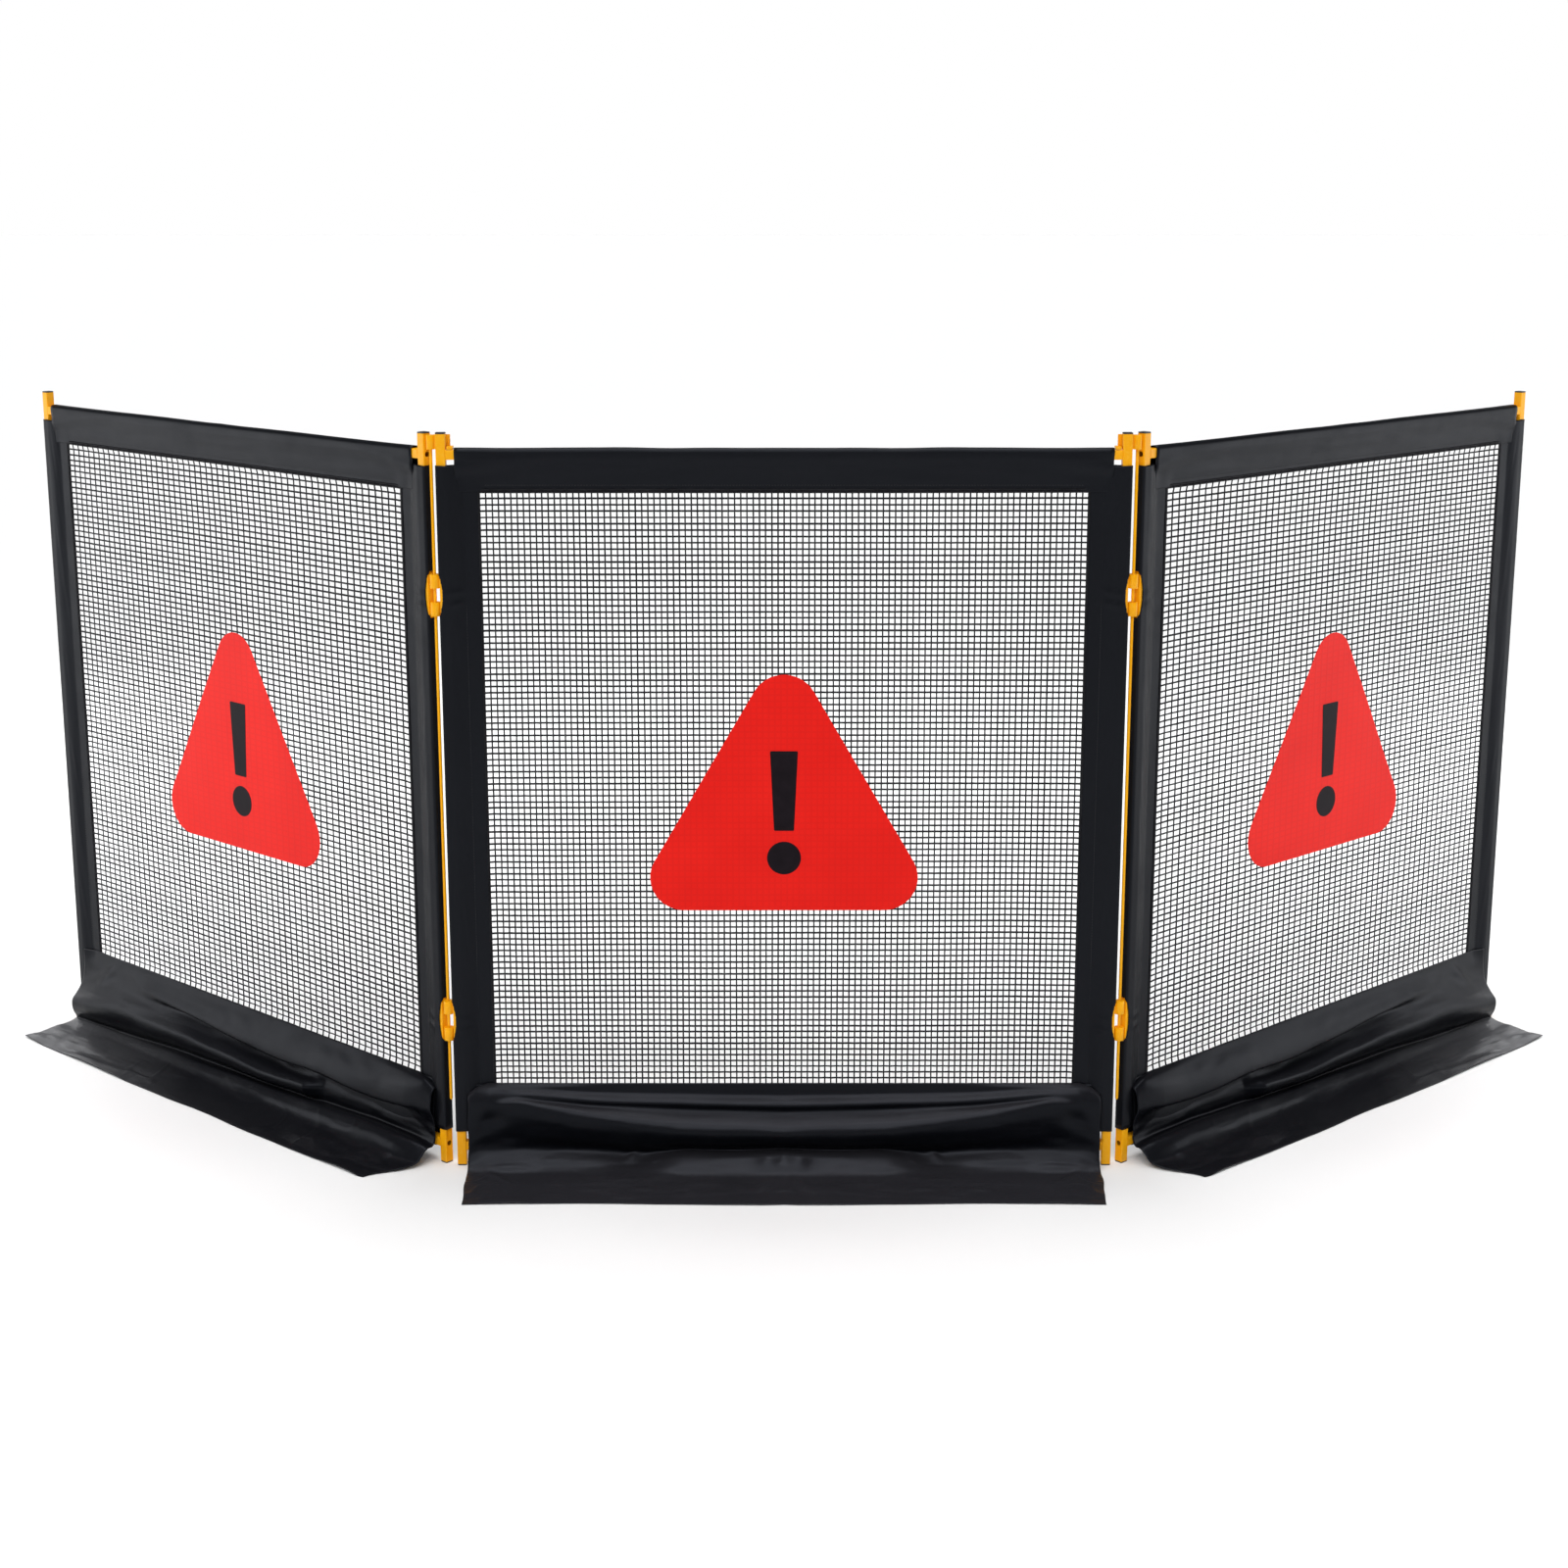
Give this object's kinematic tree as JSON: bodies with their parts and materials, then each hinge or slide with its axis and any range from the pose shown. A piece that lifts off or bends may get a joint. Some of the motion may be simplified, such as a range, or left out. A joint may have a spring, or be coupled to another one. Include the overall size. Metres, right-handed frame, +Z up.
{
  "type": "crowd control barrier",
  "caption": "Folding free-standing barrier screen: hinged square-tube panels with vinyl-edged netting, a draped floor skirt and a plain warning triangle on each.",
  "frame": {"origin": "on the floor, under the middle of the whole screen's footprint in its folded-out stance", "axes": "+Z up, +X along the centre panel towards the right panel, the skirts lie on the -Y side and the side panels fold back towards +Y"},
  "size_m": [2.884, 0.8886, 1.2],
  "materials": {
    "frame_yellow": "satin yellow powder coat",
    "plug_black": "moulded black polyethylene",
    "screw_steel": "zinc-plated screws",
    "net_black": "black coated square net",
    "vinyl_black": "soft black vinyl sheet with a faint sheen",
    "sign_red": "red printed triangle",
    "mark_black": "black printed mark"
  },
  "bodies": {
    "centre_panel": {"c_post_left": "frame_yellow", "c_post_right": "frame_yellow", "c_top_rail": "frame_yellow", "c_bottom_rail": "frame_yellow", "c_end_plugs": "plug_black", "c_rail_inserts": "plug_black", "c_rail_screws": "screw_steel", "c_knuckles_left": "frame_yellow", "c_knuckles_right": "frame_yellow", "c_net": "net_black", "c_top_sleeve": "vinyl_black", "c_bottom_sleeve": "vinyl_black", "c_post_sleeve_left": "vinyl_black", "c_post_sleeve_right": "vinyl_black", "c_skirt": "vinyl_black", "c_sign": "sign_red", "c_sign_mark": "mark_black"},
    "left_panel": {"l_post_inner": "frame_yellow", "l_post_outer": "frame_yellow", "l_top_rail": "frame_yellow", "l_bottom_rail": "frame_yellow", "l_end_plugs": "plug_black", "l_rail_inserts": "plug_black", "l_rail_screws": "screw_steel", "l_knuckles": "frame_yellow", "l_net": "net_black", "l_top_sleeve": "vinyl_black", "l_bottom_sleeve": "vinyl_black", "l_post_sleeve_inner": "vinyl_black", "l_post_sleeve_outer": "vinyl_black", "l_skirt": "vinyl_black", "l_sign": "sign_red", "l_sign_mark": "mark_black"},
    "right_panel": {"r_post_inner": "frame_yellow", "r_post_outer": "frame_yellow", "r_top_rail": "frame_yellow", "r_bottom_rail": "frame_yellow", "r_end_plugs": "plug_black", "r_rail_inserts": "plug_black", "r_rail_screws": "screw_steel", "r_knuckles": "frame_yellow", "r_net": "net_black", "r_top_sleeve": "vinyl_black", "r_bottom_sleeve": "vinyl_black", "r_post_sleeve_inner": "vinyl_black", "r_post_sleeve_outer": "vinyl_black", "r_skirt": "vinyl_black", "r_sign": "sign_red", "r_sign_mark": "mark_black"},
    "left_rod": {"left_hinge_rod": "frame_yellow", "left_rod_head": "frame_yellow"},
    "right_rod": {"right_hinge_rod": "frame_yellow", "right_rod_head": "frame_yellow"}
  },
  "joints": [
    {"name": "left_fold", "type": "hinge", "parent": "centre_panel", "child": "left_panel", "pos_m": [-0.5432, -0.28027, 0], "axis": [0, 0, -1], "range_deg": [-41.7, 28]},
    {"name": "right_fold", "type": "hinge", "parent": "centre_panel", "child": "right_panel", "pos_m": [0.5432, -0.28027, 0], "axis": [0, 0, 1], "range_deg": [-41.7, 28]},
    {"name": "left_rod_pull", "type": "slide", "parent": "centre_panel", "child": "left_rod", "axis": [0, 0, 1], "range_m": [0, 0.9]},
    {"name": "right_rod_pull", "type": "slide", "parent": "centre_panel", "child": "right_rod", "axis": [0, 0, 1], "range_m": [0, 0.9]}
  ]
}
